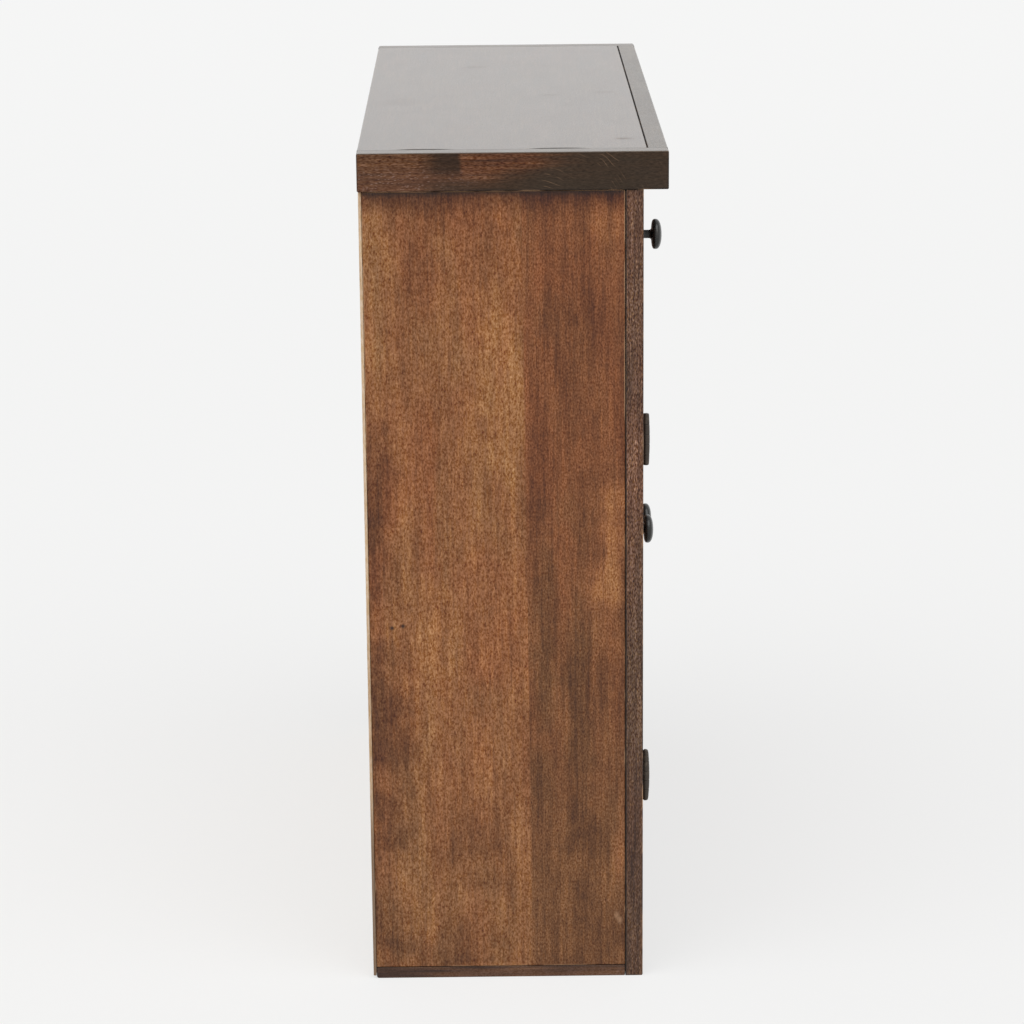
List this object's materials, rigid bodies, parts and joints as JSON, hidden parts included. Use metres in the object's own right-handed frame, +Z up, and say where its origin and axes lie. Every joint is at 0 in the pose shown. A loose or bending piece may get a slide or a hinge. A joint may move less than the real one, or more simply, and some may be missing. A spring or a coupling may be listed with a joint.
{
  "type": "drawer cabinet",
  "caption": "Narrow stained wood cabinet with side-by-side drawers over a pair of hinged doors, an overhanging thick top and dark round knobs.",
  "frame": {"origin": "on the floor, under the middle of the object's box", "axes": "+Z up, the front with its drawers and doors faces -Y, +X to the right as seen from the front"},
  "size_m": [0.8, 0.3088, 0.864],
  "materials": {
    "side_veneer": "red-brown stained veneer, satin",
    "frame_stain": "dark brown stained solid wood, satin",
    "top_stain": "dark brown stained board, polished",
    "inside_veneer": "plain veneer, matt",
    "drawer_wood": "bare pale wood",
    "raw_board": "bare thin plywood",
    "black_iron": "black, satin",
    "brown_plastic": "brown moulded",
    "bright_steel": "zinc plated"
  },
  "bodies": {
    "cabinet": {"top_panel": "top_stain", "top_strip_front": "frame_stain", "top_strip_left": "frame_stain", "top_strip_right": "frame_stain", "side_panel_left": "side_veneer", "side_panel_right": "side_veneer", "base_runner_left": "frame_stain", "base_runner_right": "frame_stain", "back_panel": "raw_board", "bottom_panel": "inside_veneer", "shelf": "inside_veneer", "drawer_divider": "inside_veneer", "frame_stile_left": "frame_stain", "frame_stile_right": "frame_stain", "frame_rail_top": "frame_stain", "frame_rail_middle": "frame_stain", "frame_rail_bottom": "frame_stain", "frame_mullion": "frame_stain", "drawer_runner_left": "drawer_wood", "drawer_runner_middle": "drawer_wood", "drawer_runner_right": "drawer_wood", "drawer_kicker_left": "drawer_wood", "drawer_kicker_right": "drawer_wood", "drawer_stop_left": "drawer_wood", "drawer_stop_right": "drawer_wood", "door_catch": "brown_plastic", "hinge_left_lower_frame_leaf": "black_iron", "hinge_left_upper_frame_leaf": "black_iron", "hinge_right_lower_frame_leaf": "black_iron", "hinge_right_upper_frame_leaf": "black_iron"},
    "drawer_left": {"drawer_front_left": "frame_stain", "drawer_side_left_inner": "drawer_wood", "drawer_side_left_outer": "drawer_wood", "drawer_back_left": "drawer_wood", "drawer_bottom_left": "raw_board", "drawer_knob_left": "black_iron"},
    "drawer_right": {"drawer_front_right": "frame_stain", "drawer_side_right_inner": "drawer_wood", "drawer_side_right_outer": "drawer_wood", "drawer_back_right": "drawer_wood", "drawer_bottom_right": "raw_board", "drawer_knob_right": "black_iron"},
    "door_left": {"door_stile_left_lock": "frame_stain", "door_stile_left_hinge": "frame_stain", "door_rail_left_bottom": "frame_stain", "door_rail_left_top": "frame_stain", "door_panel_left": "side_veneer", "door_knob_left": "black_iron", "door_strike_left": "bright_steel", "hinge_left_lower_door_leaf": "black_iron", "hinge_left_upper_door_leaf": "black_iron"},
    "door_right": {"door_stile_right_lock": "frame_stain", "door_stile_right_hinge": "frame_stain", "door_rail_right_bottom": "frame_stain", "door_rail_right_top": "frame_stain", "door_panel_right": "side_veneer", "door_knob_right": "black_iron", "door_strike_right": "bright_steel", "hinge_right_lower_door_leaf": "black_iron", "hinge_right_upper_door_leaf": "black_iron"}
  },
  "joints": [
    {"name": "drawer_left_slide", "type": "slide", "parent": "cabinet", "child": "drawer_left", "axis": [0, -1, 0], "range_m": [0, 0.18]},
    {"name": "drawer_right_slide", "type": "slide", "parent": "cabinet", "child": "drawer_right", "axis": [0, -1, 0], "range_m": [0, 0.18]},
    {"name": "door_left_pivot", "type": "hinge", "parent": "cabinet", "child": "door_left", "pos_m": [-0.356, -0.1304, 0.114], "axis": [0, 0, 1], "range_deg": [-175, 0]},
    {"name": "door_right_pivot", "type": "hinge", "parent": "cabinet", "child": "door_right", "pos_m": [0.356, -0.1304, 0.114], "axis": [0, 0, 1], "range_deg": [0, 175]}
  ]
}
